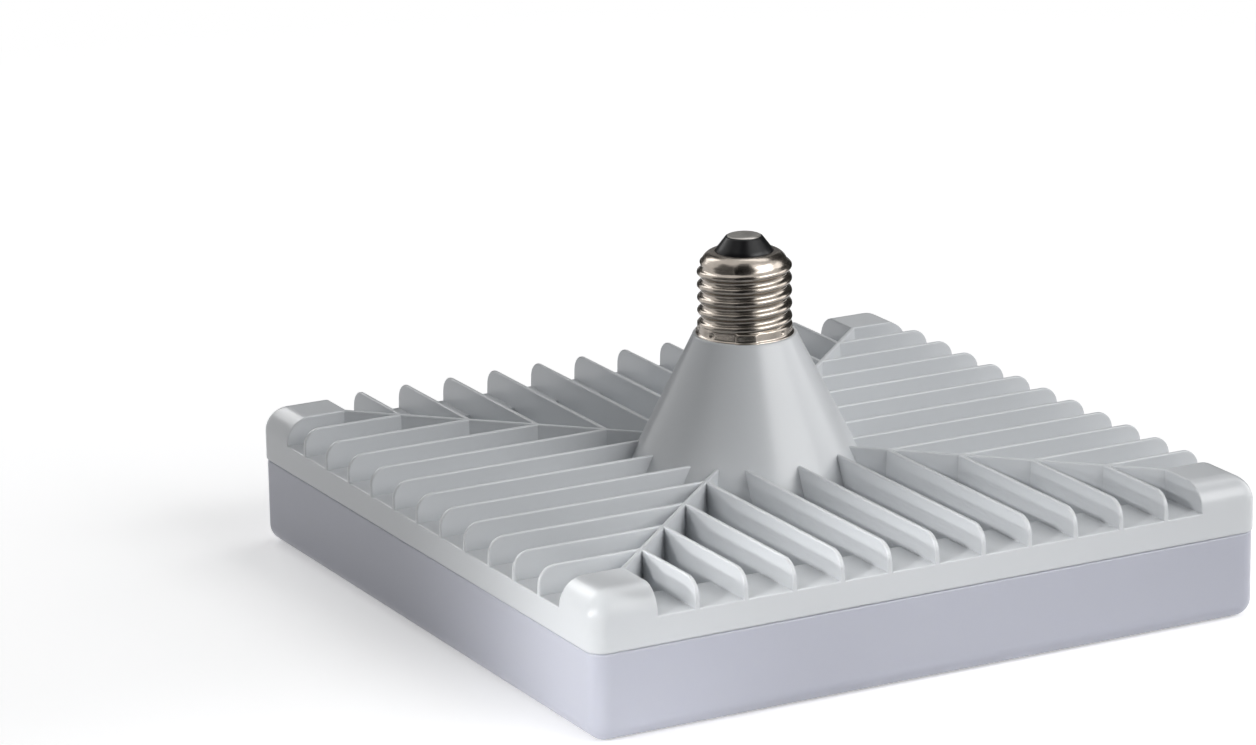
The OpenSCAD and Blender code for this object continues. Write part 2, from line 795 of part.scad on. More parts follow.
module fuse_resistor() {
    neck_r = 0.8 * fuse_r;
    cap_len = 0.2 * fuse_len;
    axis_y = driver_face + standoff + fuse_r;
    color("#c8bba0") {
        translate([fuse_x, axis_y, fuse_z - fuse_len / 2]) {
            cylinder(r = neck_r, h = fuse_len);
            for (low = [0, fuse_len - cap_len]) translate([0, 0, low])
                cylinder(r = fuse_r, h = cap_len);
        }
        for (side = [-1, 1]) {
            pin(fuse_x, fuse_z + side * fuse_pin_z, axis_y);
            translate([fuse_x, axis_y, fuse_z + side * fuse_pin_z]) sphere(pin_r);
        }
        translate([fuse_x, axis_y, fuse_z - fuse_pin_z]) cylinder(r = pin_r, h = 2 * fuse_pin_z);
    }
}

// Moulded surface-mount body on the driver board's back, with legs along its two long sides
module moulded_part(w, h, t, legs, leg_w, leg_out) {
    leg_step = w / legs;
    plate_y(-driver_face - t, -driver_face - leg_t) square([w, h], center = true);
    for (i = [0:legs - 1], side = [-1, 1])
        translate([(i - (legs - 1) / 2) * leg_step - leg_w / 2, -driver_face - leg_t,
            side * (h / 2 + leg_out / 2) - leg_out])
            cube([leg_w, leg_t, 2 * leg_out]);
}

module bridge_rectifier() {
    leg_w = 1.1;
    leg_out = 0.9;
    color("#1f2124") translate([bridge_x, 0, bridge_z])
        moulded_part(bridge_w, bridge_h, bridge_t, 2, leg_w, leg_out);
}

module driver_chip() {
    leg_w = 0.45;
    leg_out = 0.8;
    color("#1f2124") translate([chip_x, 0, chip_z])
        moulded_part(chip_w, chip_h, chip_t, 4, leg_w, leg_out);
}

module output_diode() {
    leg_w = 2;
    leg_out = 0.7;
    color("#1f2124") translate([diode_x, 0, diode_z]) rotate([0, 90, 0])
        moulded_part(diode_h, diode_w, diode_t, 1, leg_w, leg_out);
}

module chip_resistors() {
    color("#303236") for (share = resistor_shares)
        translate([across(share, resistor_z), 0, resistor_z])
            plate_y(-driver_face - resistor_t, -driver_face)
                square([resistor_h, resistor_w], center = true);
}

// Round tube along a list of points, with its frame carried from ring to ring
tube_sides = 8;
function unit(v) = v / norm(v);
function tangent(path, i) =
    unit(path[min(i + 1, len(path) - 1)] - path[max(i - 1, 0)]);
function carried(side, along) = unit(side - (side * along) * along);
function ring(centre, side, along, r) =
    let (other = cross(along, side))
    [for (k = [0:tube_sides - 1]) let (a = 360 * k / tube_sides)
        centre + r * (cos(a) * side + sin(a) * other)];
function tube_rings(path, r, side, i = 0) =
    i == len(path) ? [] :
    let (along = tangent(path, i), here = carried(side, along))
    concat(ring(path[i], here, along, r), tube_rings(path, r, here, i + 1));
function tube_faces(rings) = [
    [for (k = [0:tube_sides - 1]) k],
    for (i = [0:rings - 2], k = [0:tube_sides - 1])
        let (a = i * tube_sides + k, b = i * tube_sides + (k + 1) % tube_sides)
            each [[a, b + tube_sides, b], [a, a + tube_sides, b + tube_sides]],
    [for (k = [tube_sides - 1:-1:0]) (rings - 1) * tube_sides + k]
];

module tube(path, r, side) {
    polyhedron(points = tube_rings(path, r, side), faces = tube_faces(len(path)));
}

// Smooth path through chosen points, straight at its two ends
path_steps = 4;
function spline_point(a, b, c, d, t) =
    0.5 * (2 * b + (c - a) * t + (2 * a - 5 * b + 4 * c - d) * t * t
        + (3 * b - a - 3 * c + d) * t * t * t);
function smooth(p) = concat(
    [for (i = [0:len(p) - 2], s = [0:path_steps - 1])
        spline_point(p[max(i - 1, 0)], p[i], p[i + 1], p[min(i + 2, len(p) - 1)], s / path_steps)],
    [p[len(p) - 1]]);

// Output lead from the driver board down through the boards to the terminal
function output_route(x) = [
    [x, -driver_face, output_lead_z],
    [x, driver_face + lead_d, output_lead_z],
    [x, lead_drop_y - lead_d, output_lead_z - lead_d / 3],
    [x, lead_drop_y, output_lead_z - 1.6 * lead_d],
    [x, lead_drop_y, ceiling_z],
    [x, lead_drop_y + lead_d / 4, terminal_lead_z + 1.1 * lead_d],
    [x, lead_drop_y + 1.8 * lead_d, terminal_lead_z],
    [x, terminal_y - lead_d, terminal_lead_z],
    [x, terminal_y + terminal_bite, terminal_lead_z]
];

module output_lead_red() {
    color("#c0282d") tube(smooth(output_route(lead_pole_gap / 2)), lead_d / 2, [1, 0, 0]);
}

module output_lead_black() {
    color("#222222") tube(smooth(output_route(-lead_pole_gap / 2)), lead_d / 2, [1, 0, 0]);
}

// Lead from the driver board's tongue to the stem of the centre contact
centre_route = [
    [centre_lead_x, driver_face, input_lead_z],
    [centre_lead_x, -driver_face - input_lead_d, input_lead_z],
    [0.8 * centre_lead_x, -driver_face - 2 * input_lead_d, input_lead_z + 2.5 * input_lead_d],
    [0.3 * centre_lead_x, -driver_face, collar_z],
    [0, 0, collar_z + 3 * input_lead_d],
    [0, 0, stem_z - input_lead_d],
    [0, 0, stem_z]
];

module input_lead_centre() {
    color("#e8e8e8") tube(smooth(centre_route), input_lead_d / 2, [1, 0, 0]);
}

// Lead from the tongue over the collar's edge into its groove against the shell
function shell_lead_run() = 0.4 * collar_h;
groove_x = -collar_r + input_lead_d / 2;
over_z = collar_z + input_lead_d;
shell_route = [
    [shell_lead_x, driver_face, input_lead_z],
    [shell_lead_x, -driver_face - input_lead_d, input_lead_z],
    [shell_lead_x, -driver_face - 2 * input_lead_d, input_lead_z + 2 * input_lead_d],
    [shell_lead_x - input_lead_d, -driver_face - input_lead_d, collar_z - input_lead_d],
    [-collar_in_r + input_lead_d, -input_lead_d / 2, over_z],
    [-collar_r + collar_wall / 2, 0, over_z + input_lead_d / 2],
    [groove_x, 0, collar_z - input_lead_d / 2],
    [groove_x, 0, collar_z - shell_lead_run() / 2],
    [groove_x, 0, collar_z - shell_lead_run() + input_lead_d]
];

module input_lead_shell() {
    color("#7d3b2a") tube(smooth(shell_route), input_lead_d / 2, [1, 0, 0]);
}

// Share of the thread's depth that stands at u turns from a crest: two equal arcs
function knuckle(u) =
    let (t = abs(u - round(u)) * thread_pitch, q = thread_pitch / 4)
    t <= q ? 1 - (thread_arc_r - sqrt(thread_arc_r ^ 2 - t ^ 2)) / thread_depth
        : (thread_arc_r - sqrt(thread_arc_r ^ 2 - (2 * q - t) ^ 2)) / thread_depth;
function ramp(x) = min(max(x, 0), 1);
function ease(x) = let (t = ramp(x)) t * t * (3 - 2 * t);
function skirt_part(s) = 1 - ease((s - skirt_h) / skirt_blend_h);
function thread_part(s, a) =
    knuckle(s / thread_pitch - a / 360 - thread_start_turns)
    * (1 - ease((s - thread_fade_top + thread_fade_h) / thread_fade_h));
function flare_part(s) = skirt_flare * (1 - ease(3 * s / skirt_h)) ^ 2;
function shell_out_r(s, a) =
    root_r + thread_depth * max(skirt_part(s), thread_part(s, a)) + flare_part(s);

// Rings of the shell: heights below the dome, then angles over the dome
thread_row_h = thread_pitch / rows_per_turn;
skirt_row_shares = [0, 0.12, 0.35, 0.7];
low_rows = [for (share = skirt_row_shares) share * skirt_h];
thread_rows = floor((dome_h - skirt_h) / thread_row_h);
wall_rows = [for (i = [0:thread_rows]) skirt_h + i * (dome_h - skirt_h) / thread_rows];
straight_rows = concat(low_rows, wall_rows);
dome_angles = [for (i = [1:dome_steps]) 90 * i / dome_steps];
function shell_ring(s, inset) =
    [for (k = [0:cap_segments - 1])
        let (a = 360 * k / cap_segments, r = shell_out_r(s, a) - inset)
            [r * cos(a), r * sin(a), s]];
function dome_ring(phi, inset) =
    [for (k = [0:cap_segments - 1])
        let (a = 360 * k / cap_segments, s = dome_h + (dome_r - inset) * sin(phi),
            ridge = thread_depth * thread_part(dome_h + dome_r * sin(phi), a) * cos(phi),
            r = crown_r + (dome_r - inset) * cos(phi) + ridge)
                [r * cos(a), r * sin(a), s]];
shell_outside = [for (s = straight_rows) each shell_ring(s, 0),
    for (phi = dome_angles) each dome_ring(phi, 0)];
shell_inside = [for (s = straight_rows) each shell_ring(s, shell_t),
    for (phi = dome_angles) each dome_ring(phi, shell_t)];
shell_rows = len(straight_rows) + dome_steps;

module cap_shell() {
    n = cap_segments;
    base = shell_rows * n;
    faces = [
        for (i = [0:shell_rows - 2], k = [0:n - 1])
            let (a = i * n + k, b = i * n + (k + 1) % n)
            each [[a, b + n, b], [a, a + n, b + n],
                [base + a, base + b, base + b + n], [base + a, base + b + n, base + a + n]],
        for (k = [0:n - 1])
            let (b = (k + 1) % n, top = (shell_rows - 1) * n)
            each [[k, b, base + b], [k, base + b, base + k],
                [top + k, base + top + b, top + b], [top + k, base + top + k, base + top + b]]
    ];
    color("#b3a79b") translate([0, 0, seat_z])
        polyhedron(points = concat(shell_outside, shell_inside), faces = faces);
}

module cap_insulator() {
    color("#17181a") difference() {
        rotate_extrude() {
            polygon([[0, crown_z - 2 * shell_t], [crown_r - fit_gap, crown_z - 2 * shell_t],
                [crown_r - fit_gap, crown_z + shell_t / 2], [insulator_top_r, insulator_z],
                [0, insulator_z]]);
            square_from(0, insulator_flange_z, crown_r - fit_gap, crown_z - insulator_flange_z);
            square_from(0, insulator_flange_z, insulator_flange_r, insulator_flange_t);
        }
        translate([0, 0, insulator_flange_z - cut])
            cylinder(r = stem_r + fit_gap, h = insulator_z - insulator_flange_z + 2 * cut);
    }
}

module centre_contact() {
    flat_r = contact_rim_share * contact_r;
    color("#a9a59f") rotate_extrude() {
        polygon([[0, insulator_z], [contact_r, insulator_z], [contact_r, insulator_z + contact_t / 3],
            [flat_r, insulator_z + contact_t], [0, insulator_z + contact_t]]);
        square_from(0, stem_z, stem_r, stem_len + contact_t / 2);
    }
}

diffuser();
housing();
heat_spreader();
led_board();
led_chips();
board_screws();
wire_terminal();
driver_board();
inductor_core();
inductor_bobbin();
inductor_winding();
input_capacitor();
output_capacitor();
film_capacitor();
filter_choke();
varistor();
fuse_resistor();
bridge_rectifier();
driver_chip();
output_diode();
chip_resistors();
output_lead_red();
output_lead_black();
input_lead_centre();
input_lead_shell();
cap_shell();
cap_insulator();
centre_contact();
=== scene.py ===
import math

import bmesh
import bpy
from mathutils import Matrix, Vector

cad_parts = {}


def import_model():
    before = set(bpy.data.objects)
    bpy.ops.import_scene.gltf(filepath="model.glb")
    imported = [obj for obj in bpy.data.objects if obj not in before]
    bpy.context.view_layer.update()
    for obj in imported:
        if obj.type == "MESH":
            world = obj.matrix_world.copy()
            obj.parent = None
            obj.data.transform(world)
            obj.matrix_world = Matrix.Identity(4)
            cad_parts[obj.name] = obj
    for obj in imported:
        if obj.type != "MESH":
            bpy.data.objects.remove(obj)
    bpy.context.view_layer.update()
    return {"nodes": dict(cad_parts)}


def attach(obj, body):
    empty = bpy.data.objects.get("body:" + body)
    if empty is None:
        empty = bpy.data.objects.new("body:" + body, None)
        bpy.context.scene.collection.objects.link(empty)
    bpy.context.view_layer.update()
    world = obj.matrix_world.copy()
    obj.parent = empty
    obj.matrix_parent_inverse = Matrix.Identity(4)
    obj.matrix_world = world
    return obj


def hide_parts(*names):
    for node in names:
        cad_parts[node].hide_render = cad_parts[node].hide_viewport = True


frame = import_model()
MM = 0.001

# Housing in millimetres, with its heights above the light face
HALF, EDGE_R, WALL = 102.1, 5.0, 2.0
SEAM_Z, FLOOR_Z, RIM_Z, TOP_Z, SEAT_Z = 24.4, 29.3, 32.3, 40.1, 71.1
CEILING_Z = FLOOR_Z - WALL
RECESS_HALF, RECESS_R = HALF - 18.0, 1.5
CHANNEL_WIDTH, CHANNEL_R, CHANNEL_H = 14, 1, 3
BLOCK_IN, BLOCK_R = HALF - 18.9, 7.4
FIN_PITCH, SIDE_FINS = 14.35, 5
FIN_ROOT, FIN_TIP, FIN_FILLET = 1.8, 1.2, 0.5
NECK_TOP_R, NECK_FOOT_R, NECK_WALL = 14.3, 35.0, 2.3
NECK_SLOPE = (NECK_FOOT_R - NECK_TOP_R) / (SEAT_Z - FLOOR_Z)
NECK_ROOF_Z = SEAT_Z - 2.5
COLLAR_R, COLLAR_H, COLLAR_BORE_R = 11.6, 15, 9.8
LEDGE_R, LEDGE_H = 12.2, 2.1

# Small roundings at the seam, the rim, the step behind the fins and the neck's lip, which draws in by LIP_IN
SEAM_SOFT, RIM_SOFT, STEP_SOFT, LIP_SOFT, LIP_IN = 0.7, 0.45, 0.5, 0.7, 0.63

# Least corner radius, and reach of a cut past a face
SHARP_R, PAST = 0.02, 1

# How deep fins and neck stand in the floor, and blocks in the rim
SINK, BLOCK_SINK = 1.2, 2

# Diffuser, whose tongue stands inside the rim
DIFFUSER_HALF, DIFFUSER_WALL = HALF - 0.25, 1.8
TONGUE_HALF, TONGUE_T, TONGUE_R = HALF - WALL - 0.15, 1.4, 3
TONGUE_TOP_Z, TONGUE_FOOT_Z = SEAM_Z + 3.6, SEAM_Z - 3

# Screw cap: shell with its knuckle thread, insulator and contact
CROWN_Z, INSULATOR_Z, CONTACT_Z = 94.3, 98.4, 98.9
CROWN_R, SHELL_T, SKIRT_H, SKIRT_FLARE = 8.15, 0.3, 2.5, 0.5
CROWN_EDGE = ((0.02, 0.08), (0.04, 0.16), (0, SHELL_T))
ROOT_R, THREAD_DEPTH, THREAD_PITCH, THREAD_START = 12.05, 1.1, 3.629, 0.33
THREAD_ARC_R = THREAD_PITCH ** 2 / 16 / THREAD_DEPTH + THREAD_DEPTH / 4
DOME_R = ROOT_R - CROWN_R
DOME_H = CROWN_Z - SEAT_Z - DOME_R
FLANGE_Z, FLANGE_TOP_Z, PLUG_R, PLUG_TOP_Z = 92.22, 93.52, 8.0, 94.15
CONE_FOOT, CONE_TOP = (7.72, 94.95), (5.32, 98.1)
STEM_HOLE_R, STEM_R, STEM_LOW_Z = 1.65, 1.5, 93.9
DISC_R, DISC_EDGE_R, DISC_EDGE_Z = 4.7, 4.6, 98.6
DISC_SLOPE_W, DISC_SLOPE_H, FLAT_R = 1.2, 0.27, 2.9

# Tabs and dents in the skirt: azimuth in degrees, height over the seat, half width, half height and rise
TABS = [(azimuth, 1.2, 3.9, 1.7, 0.6) for azimuth in (243.5, 123.5, 3.5)]
DENTS = [(197, 1.4, 0.95, 0.95, -0.45), (293, 1.6, 0.7, 0.7, -0.4), (80, 1.5, 0.8, 0.8, -0.4),
         (160, 1.5, 0.8, 0.8, -0.4)]
MARKS_TOP = 4

# Shares of a mark's half size out to which it has its full rise, and how much a tab narrows upwards
DENT_CORE, TAB_SIDE, TAB_END, TAB_TAPER = 0.3, 0.74, 0.62, 0.1

# Distances below which two points or an edge's ends become one, in metres
SAME_POINT, SHORT_EDGE = 0.004 * MM, 0.002 * MM


# Mesh helpers

def add_mesh(name, verts, faces):
    """Object from points in millimetres, with its faces turned outwards."""
    mesh = bpy.data.meshes.new(name)
    mesh.from_pydata([tuple(c * MM for c in vert) for vert in verts], [], faces)
    mesh.validate()
    obj = bpy.data.objects.new(name, mesh)
    bpy.context.scene.collection.objects.link(obj)
    shape = bmesh.new()
    shape.from_mesh(mesh)
    bmesh.ops.recalc_face_normals(shape, faces=shape.faces)
    shape.to_mesh(mesh)
    shape.free()
    return obj


def skin(rings, capped=True):
    """Faces between closed rings of the same number of points, closed at both ends if capped."""
    n = len(rings[0])
    verts = [point for ring in rings for point in ring]
    faces = []
    for i in range(len(rings) - 1):
        for k in range(n):
            after = (k + 1) % n
            faces.append((i * n + k, i * n + after, (i + 1) * n + after, (i + 1) * n + k))
    if capped:
        faces.append(tuple(range(n - 1, -1, -1)))
        faces.append(tuple((len(rings) - 1) * n + k for k in range(n)))
    return verts, faces


def looped_skin(rings):
    """Skin whose last ring meets the first one."""
    verts, faces = skin(rings, False)
    n = len(rings[0])
    last = (len(rings) - 1) * n
    faces += [(last + k, last + (k + 1) % n, (k + 1) % n, k) for k in range(n)]
    return verts, faces


def merged(parts):
    """Several (points, faces) pairs as one."""
    verts, faces = [], []
    for part_verts, part_faces in parts:
        base = len(verts)
        verts += part_verts
        faces += [tuple(i + base for i in face) for face in part_faces]
    return verts, faces


def turned(points, quarters):
    """Points turned about Z by so many quarters."""
    for _ in range(quarters):
        points = [(-y, x, z) for x, y, z in points]
    return points


def quarter(steps):
    """Angles of a quarter turn from 0 to 90 degrees, in radians."""
    return [math.radians(90 * i / steps) for i in range(steps + 1)]


def arc(x, y, r, start, end, steps):
    """Points on an arc between two angles in degrees, with both ends."""
    turns = [math.radians(start + (end - start) * i / steps) for i in range(steps + 1)]
    return [(x + r * math.cos(turn), y + r * math.sin(turn)) for turn in turns]


def square_ring(half, r, z, steps=12):
    """Square outline with round corners at height z."""
    c = half - r
    points = []
    for side, (sx, sy) in enumerate([(1, 1), (-1, 1), (-1, -1), (1, -1)]):
        points += arc(sx * c, sy * c, r, 90 * side, 90 * side + 90, steps)
    return [(x, y, z) for x, y in points]


def circles(profile, n):
    """One ring of n points for each (radius, height) pair."""
    turns = [2 * math.pi * k / n for k in range(n)]
    return [[(r * math.cos(turn), r * math.sin(turn), z) for turn in turns] for r, z in profile]


def polar(r, angle, z):
    """Point at a radius, an angle in degrees and a height."""
    return (r * math.cos(math.radians(angle)), r * math.sin(math.radians(angle)), z)


def combine(target, other, operation):
    """Boolean of two objects; the second one is used up."""
    modifier = target.modifiers.new("cut", "BOOLEAN")
    modifier.operation = operation
    modifier.object = other
    modifier.solver = "MANIFOLD"
    bpy.context.view_layer.update()
    evaluated = target.evaluated_get(bpy.context.evaluated_depsgraph_get())
    mesh = bpy.data.meshes.new_from_object(evaluated)
    target.modifiers.clear()
    old = target.data
    target.data = mesh
    bpy.data.meshes.remove(old)
    bpy.data.objects.remove(other)


def smooth(obj, angle=32, weighted=True):
    """Smooth shading over edges under this angle in degrees, with flat faces kept flat if weighted."""
    shape = bmesh.new()
    shape.from_mesh(obj.data)
    bmesh.ops.remove_doubles(shape, verts=shape.verts, dist=SAME_POINT)
    bmesh.ops.dissolve_degenerate(shape, edges=shape.edges, dist=SHORT_EDGE)
    limit = math.radians(angle)
    for face in shape.faces:
        face.smooth = True
    for edge in shape.edges:
        edge.smooth = len(edge.link_faces) == 2 and edge.calc_face_angle(0) < limit
    shape.to_mesh(obj.data)
    shape.free()
    if weighted:
        normals = obj.modifiers.new("normals", "WEIGHTED_NORMAL")
        normals.mode = "FACE_AREA"
        normals.weight = 60
        normals.keep_sharp = True


def finish_piece(obj, material, node):
    """Material, and the CAD node that this piece stands for."""
    obj.data.materials.clear()
    obj.data.materials.append(material)
    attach(obj, "root")
    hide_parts(node)


# Material helpers

def principled(name, color, roughness, metallic=0.0, **sockets):
    material = bpy.data.materials.new(name)
    material.use_nodes = True
    tree = material.node_tree
    shader = tree.nodes["Principled BSDF"]
    shader.inputs["Base Color"].default_value = (*color, 1)
    shader.inputs["Roughness"].default_value = roughness
    shader.inputs["Metallic"].default_value = metallic
    for key, value in sockets.items():
        shader.inputs[key.replace("_", " ")].default_value = value
    return material, tree, shader


def position(tree):
    return tree.nodes.new("ShaderNodeTexCoord").outputs["Object"]


def noise(tree, scale, detail, rough=0.5, vector=None):
    node = tree.nodes.new("ShaderNodeTexNoise")
    node.inputs["Scale"].default_value = scale
    node.inputs["Detail"].default_value = detail
    node.inputs["Roughness"].default_value = rough
    tree.links.new(vector or position(tree), node.inputs["Vector"])
    return node.outputs["Fac"]


def stretched(tree, scale):
    node = tree.nodes.new("ShaderNodeMapping")
    node.inputs["Scale"].default_value = scale
    tree.links.new(position(tree), node.inputs["Vector"])
    return node.outputs["Vector"]


def ranged(tree, value, low, high, from_low=0.3, from_high=0.7):
    """Value mapped from the middle range of a noise, unless another is given, to low and high."""
    node = tree.nodes.new("ShaderNodeMapRange")
    node.inputs["From Min"].default_value = from_low
    node.inputs["From Max"].default_value = from_high
    node.inputs["To Min"].default_value = low
    node.inputs["To Max"].default_value = high
    tree.links.new(value, node.inputs["Value"])
    return node.outputs["Result"]


def toned(color, share):
    """Color made lighter or darker by a share, at most white."""
    return tuple(min(1, c * share) for c in color)


def two_tone(tree, shader, share, low, high):
    node = tree.nodes.new("ShaderNodeMix")
    node.data_type = "RGBA"
    node.inputs["A"].default_value = (*low, 1)
    node.inputs["B"].default_value = (*high, 1)
    tree.links.new(share, node.inputs["Factor"])
    tree.links.new(node.outputs["Result"], shader.inputs["Base Color"])


def uneven_gloss(tree, shader, share, low, high):
    tree.links.new(ranged(tree, share, low, high), shader.inputs["Roughness"])


def bump(tree, shader, height, distance):
    node = tree.nodes.new("ShaderNodeBump")
    node.inputs["Distance"].default_value = distance
    tree.links.new(height, node.inputs["Height"])
    tree.links.new(node.outputs["Normal"], shader.inputs["Normal"])


# Materials

def grained(name, color, roughness, grain=2600, depth=0.00001, tone=0.03, spread=0.15, **sockets):
    """Moulded plastic: fine grain, slow tone changes and uneven gloss."""
    material, tree, shader = principled(name, color, roughness, **sockets)
    slow = ranged(tree, noise(tree, 22, 3), 0, 1)
    two_tone(tree, shader, slow, toned(color, 1 - tone), toned(color, 1 + tone))
    uneven_gloss(tree, shader, noise(tree, 60, 4), roughness * (1 - spread), roughness * (1 + spread))
    bump(tree, shader, noise(tree, grain, 2), depth)
    return material


def housing_material():
    return grained("housing_plastic", (0.64, 0.658, 0.677), 0.32, grain=1800, depth=0.000012, tone=0.012,
                   spread=0.1, Specular_IOR_Level=0.5, Coat_Weight=0.2, Coat_Roughness=0.15)


def diffuser_material():
    material, tree, shader = principled("opal_plastic", (0.50, 0.512, 0.588), 0.3, Subsurface_Weight=0.4,
                                        Subsurface_Radius=(0.006, 0.006, 0.0065), Subsurface_Scale=1.0)
    two_tone(tree, shader, noise(tree, 18, 2), (0.495, 0.507, 0.583), (0.505, 0.517, 0.593))
    bump(tree, shader, noise(tree, 1500, 2), 0.000008)
    return material


def plated(name, color, smoothest, roughest):
    """Plated metal with dull patches and a faint texture that is finer along Z."""
    material, tree, shader = principled(name, color, smoothest, 1.0)
    dull = ranged(tree, noise(tree, 260, 4, 0.6), 0, 1)
    two_tone(tree, shader, dull, toned(color, 0.86), toned(color, 1.06))
    uneven_gloss(tree, shader, noise(tree, 420, 5, 0.6), smoothest, roughest)
    bump(tree, shader, noise(tree, 700, 3, 0.5, stretched(tree, (1, 1, 3))), 0.00002)
    return material


def insulator_material():
    material, tree, shader = principled("insulator_black", (0.005, 0.005, 0.006), 0.31,
                                        Specular_IOR_Level=0.3)
    uneven_gloss(tree, shader, noise(tree, 300, 4), 0.285, 0.34)
    bump(tree, shader, noise(tree, 500, 2), 0.00002)
    return material


def sheet_metal(name, color, rough=0.35):
    """Rolled sheet with streaks along Y."""
    material, tree, shader = principled(name, color, rough, 1.0)
    streak = noise(tree, 300, 4, 0.6, stretched(tree, (1, 0.04, 1)))
    uneven_gloss(tree, shader, streak, rough * 0.8, rough * 1.3)
    bump(tree, shader, streak, 0.000008)
    return material


def speckled(name, low, high, scale, roughness, depth=0.00001):
    """Two colors in small irregular spots."""
    material, tree, shader = principled(name, low, roughness)
    two_tone(tree, shader, ranged(tree, noise(tree, scale, 4, 0.6), 0, 1), low, high)
    bump(tree, shader, noise(tree, scale * 2, 3), depth)
    return material


def wound(name, color):
    """Enamelled wire: its turns lie across Z, with painted shade in the grooves between them."""
    material, tree, shader = principled(name, color, 0.28, 0.85)
    wave = tree.nodes.new("ShaderNodeTexWave")
    wave.bands_direction = "Z"
    wave.inputs["Scale"].default_value = 700
    tree.links.new(position(tree), wave.inputs["Vector"])
    # Painted shade: the grooves between turns are coloured at half the wire's colour, and the bump also
    # sinks them
    two_tone(tree, shader, wave.outputs["Fac"], toned(color, 0.5), color)
    bump(tree, shader, wave.outputs["Fac"], 0.0001)
    return material


# Housing: one moulding with filleted fins, ribs, corner blocks and neck

def half_thickness(z):
    """Half of a fin's drafted thickness."""
    share = (z - FLOOR_Z) / (TOP_Z - FLOOR_Z)
    return (FIN_ROOT + (FIN_TIP - FIN_ROOT) * share) / 2


def fin_row(reach, z, out, up):
    """Points over the rounded edge of a fin, at a point of its outline whose normal is (out, up)."""
    base_reach, base_z = reach - out * FIN_FILLET, z - up * FIN_FILLET
    flat = half_thickness(base_z) - FIN_FILLET
    row = []
    for side, turns in ((-1, quarter(5)[::-1]), (1, quarter(5))):
        for turn in turns:
            x = side * (flat + FIN_FILLET * math.sin(turn))
            y = -(base_reach + out * FIN_FILLET * math.cos(turn))
            row.append((x, y, base_z + up * FIN_FILLET * math.cos(turn)))
    return row


def fin(inner, outer, shoulder):
    """Fin along -Y from y = -inner to -outer: drafted sides, rounded top and, if asked for, shoulder."""
    low = FLOOR_Z - SINK
    rows = [fin_row(inner, TOP_Z, 0, 1)]
    if shoulder:
        for turn in quarter(12)[::-1]:
            out, up = math.cos(turn), math.sin(turn)
            rows.append(fin_row(outer - EDGE_R + EDGE_R * out, TOP_Z - EDGE_R + EDGE_R * up, out, up))
        rows.append(fin_row(outer, low, 1, 0))
    else:
        rows.append(fin_row(outer, TOP_Z, 0, 1))
    n = len(rows[0])
    verts = [point for row in rows for point in row]
    faces = [(i * n + k, i * n + k + 1, (i + 1) * n + k + 1, (i + 1) * n + k)
             for i in range(len(rows) - 1) for k in range(n - 1)]
    left = [i * n for i in range(len(rows))]
    right = [i * n + n - 1 for i in range(len(rows))]
    end = [(len(rows) - 1) * n + k for k in range(n)]
    foot = len(verts)
    half = half_thickness(low)
    verts += [(-half, -inner, low), (half, -inner, low)]
    if shoulder:
        faces += [tuple(left + [foot]), tuple(reversed(right + [foot + 1])), tuple(end + [foot + 1, foot])]
    else:
        verts += [(-half, -outer, low), (half, -outer, low)]
        faces += [tuple(left + [foot + 2, foot]), tuple(reversed(right + [foot + 3, foot + 1])),
                  tuple(end + [foot + 3, foot + 2]), (foot, foot + 2, foot + 3, foot + 1)]
    faces.append(tuple(list(range(n))[::-1] + [foot, foot + 1]))
    return verts, faces


def sector_fins(quarters):
    """Rows of parallel fins on the sides that these quarters name."""
    parts = []
    for q in quarters:
        for k in range(-SIDE_FINS, SIDE_FINS + 1):
            verts, faces = fin(max(abs(k) * FIN_PITCH, NECK_TOP_R), HALF, True)
            moved = [(x + k * FIN_PITCH, y, z) for x, y, z in verts]
            parts.append((turned(moved, q), faces))
    return merged(parts)


def diagonal_ribs():
    """Ribs from the neck to the four corner blocks."""
    c = math.sqrt(0.5)
    verts, faces = fin(NECK_TOP_R, BLOCK_IN * math.sqrt(2) + FIN_ROOT, False)
    diagonal = [((x + y) * c, (y - x) * c, z) for x, y, z in verts]
    return merged([(turned(diagonal, q), faces) for q in range(4)])


def block_ring(z, outer_in, side_in):
    """Plan outline of the corner block at +X +Y: large corner outside, small fillets elsewhere."""
    outer = HALF - outer_in
    r = max(EDGE_R * (1 - outer_in / BLOCK_R), SHARP_R)
    near, far = BLOCK_IN + side_in + RIM_SOFT, outer - RIM_SOFT
    points = arc(outer - r, outer - r, r, 0, 90, 12)
    points += arc(near, far, RIM_SOFT, 90, 180, 4)
    points += arc(near, near, RIM_SOFT, 180, 270, 4)
    points += arc(far, near, RIM_SOFT, 270, 360, 4)
    return [(x, y, z) for x, y in points]


def corner_blocks():
    """Four blocks, rounded over on their outer sides, with soft top edges on the inner sides."""
    start_z = TOP_Z - BLOCK_R
    rings = [block_ring(RIM_Z - BLOCK_SINK, 0, 0), block_ring(start_z, 0, 0)]
    for turn in quarter(16)[1:-1]:
        z = start_z + BLOCK_R * math.sin(turn)
        above = max(z - (TOP_Z - RIM_SOFT), 0)
        side_in = RIM_SOFT - math.sqrt(max(RIM_SOFT ** 2 - above * above, 0))
        rings.append(block_ring(z, BLOCK_R * (1 - math.cos(turn)), side_in))
    for turn in (math.radians(80), math.radians(90)):
        z = TOP_Z - RIM_SOFT + RIM_SOFT * math.sin(turn)
        outer_in = BLOCK_R - math.sqrt(max(BLOCK_R ** 2 - (z - start_z) ** 2, 0))
        rings.append(block_ring(z, outer_in, RIM_SOFT * (1 - math.cos(turn))))
    verts, faces = skin(rings)
    return merged([(turned(verts, q), faces) for q in range(4)])


